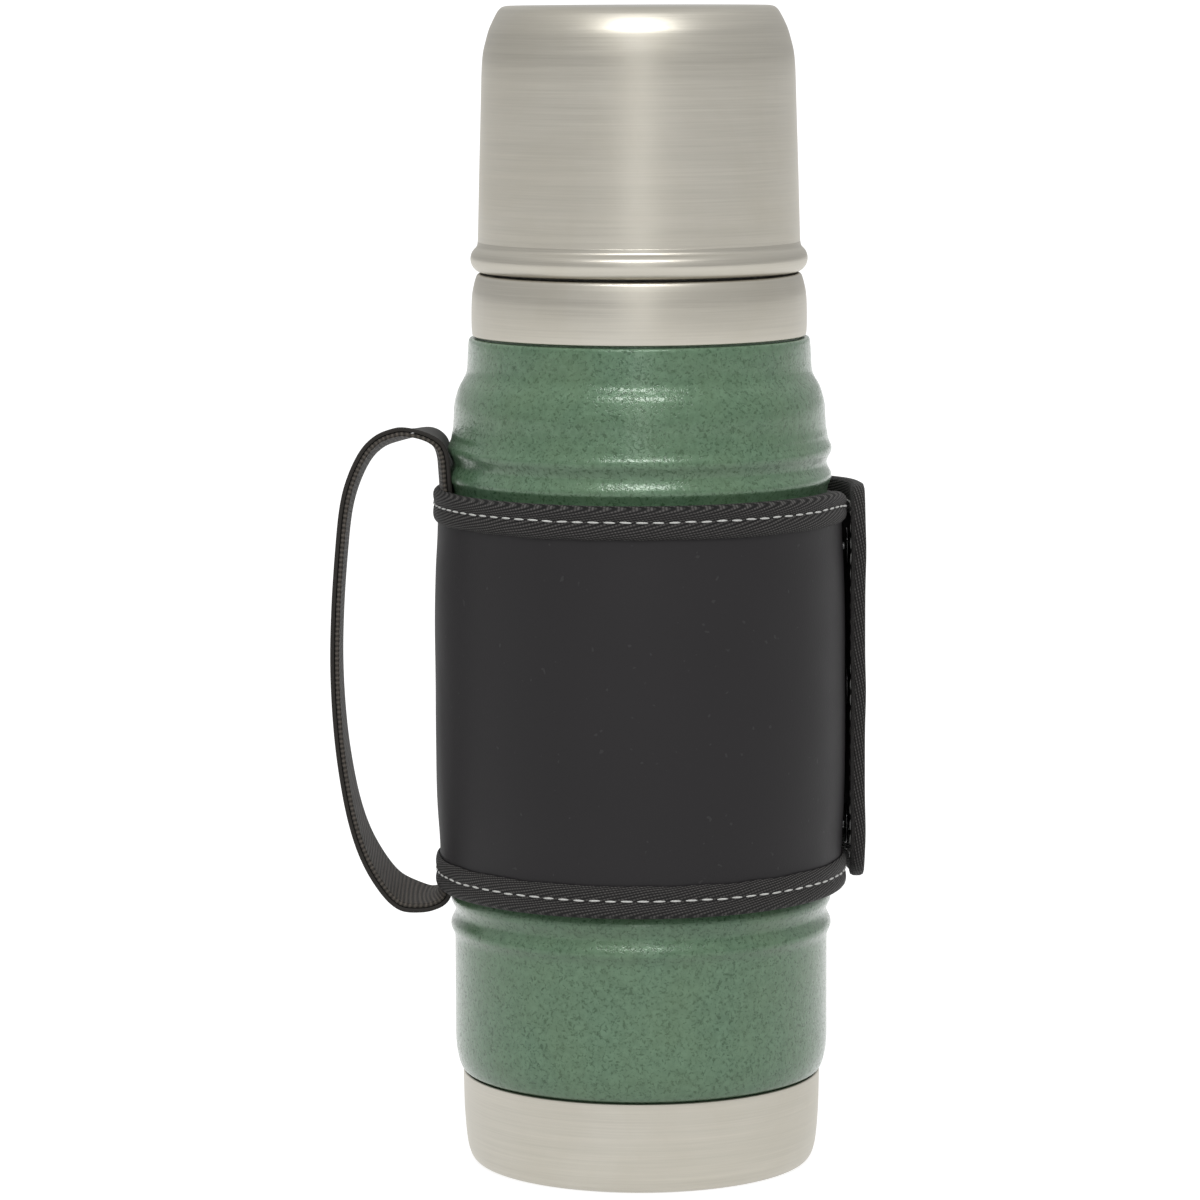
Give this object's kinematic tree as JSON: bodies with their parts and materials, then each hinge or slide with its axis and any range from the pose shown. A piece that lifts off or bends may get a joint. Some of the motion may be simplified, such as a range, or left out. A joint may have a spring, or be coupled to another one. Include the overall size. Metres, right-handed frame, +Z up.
{
  "type": "vacuum flask",
  "caption": "Insulated steel flask with a screw-on cup lid, a press-to-pour stopper, a bound wrap-around sleeve with press studs and a strap handle.",
  "frame": {"origin": "centre of the flat underside of the base cup, on the flask's axis", "axes": "+Z up the flask's axis towards the cup, -Y the front, -X the side with the strap handle, +X the side where the flap closes"},
  "size_m": [0.1472, 0.1123, 0.3155],
  "materials": {
    "brushed_steel": "fine circumferential brushing, satin, faint smudges",
    "bare_steel": "plain drawn steel",
    "green_hammertone": "green hammertone enamel with fine dark dimples, glossy",
    "copper_foil": "thin bright copper foil",
    "seal_glass": "fused sealing glass",
    "black_plastic": "moulded black polypropylene",
    "thread_plastic": "moulded grey polypropylene",
    "silicone": "translucent grey silicone",
    "foam": "rigid insulating foam",
    "leatherette": "smooth matt black leatherette",
    "lining": "thin black felt",
    "binding_tape": "black twill tape, sewn with light grey thread",
    "webbing": "black woven webbing",
    "snap_black": "glossy black lacquered brass"
  },
  "bodies": {
    "flask": {"neck_collar": "brushed_steel", "base_cup": "brushed_steel", "inner_vessel": "bare_steel", "base_plate": "bare_steel", "getter_capsule": "bare_steel", "outer_shell": "green_hammertone", "radiation_foil": "copper_foil", "evacuation_seal": "seal_glass", "neck_ring": "thread_plastic", "sleeve_panel": "leatherette", "sleeve_lining": "lining", "top_binding": "binding_tape", "bottom_binding": "binding_tape", "end_binding": "binding_tape", "strap_tab_top": "webbing", "strap_tab_bottom": "webbing", "snap_stud_1": "snap_black", "snap_stud_2": "snap_black", "snap_stud_3": "snap_black", "snap_post_1": "snap_black", "snap_post_2": "snap_black", "snap_post_3": "snap_black"},
    "stopper_seal": {"stopper_seal": "silicone"},
    "stopper": {"stopper_body": "black_plastic", "stopper_cap": "black_plastic", "stopper_foam": "foam", "valve_guide": "thread_plastic"},
    "pour_button": {"pour_button": "black_plastic", "valve_stem": "bare_steel", "valve_disc": "black_plastic", "valve_seal": "silicone", "button_spring": "bare_steel"},
    "cup_seal": {"cup_seal": "silicone"},
    "cup": {"cup_shell": "brushed_steel", "cup_thread_insert": "thread_plastic"},
    "flap": {"flap_panel": "leatherette", "flap_binding": "binding_tape", "snap_cap_1": "snap_black", "snap_cap_2": "snap_black", "snap_cap_3": "snap_black", "snap_socket_1": "snap_black", "snap_socket_2": "snap_black", "snap_socket_3": "snap_black"},
    "strap": {"strap_leather": "leatherette", "strap_webbing": "webbing"}
  },
  "joints": [
    {"name": "stopper_lift", "type": "slide", "parent": "flask", "child": "stopper_seal", "axis": [0, 0, 1], "range_m": [0, 0.055]},
    {"name": "stopper_turn", "type": "hinge", "parent": "stopper_seal", "child": "stopper", "pos_m": [0, 0, 0.2684], "axis": [0, 0, 1], "range_deg": [0, 720]},
    {"name": "button_press", "type": "slide", "parent": "stopper", "child": "pour_button", "axis": [0, 0, -1], "range_m": [0, 0.003], "stiffness_N_per_m": 600, "springref_m": -0.004, "deforming": ["button_spring"]},
    {"name": "cup_lift", "type": "slide", "parent": "stopper", "child": "cup_seal", "axis": [0, 0, 1], "range_m": [0, 0.08]},
    {"name": "cup_turn", "type": "hinge", "parent": "cup_seal", "child": "cup", "pos_m": [0, 0, 0.2632], "axis": [0, 0, 1], "range_deg": [0, 540]},
    {"name": "flap_open", "type": "hinge", "parent": "flask", "child": "flap", "pos_m": [0.0327, 0.0442, 0.1313], "axis": [0, 0, 1], "range_deg": [0, 100]},
    {"name": "strap_swing", "type": "hinge", "parent": "flask", "child": "strap", "pos_m": [-0.054, 0, 0.133], "axis": [0, 0, 1], "range_deg": [-25, 25]}
  ]
}
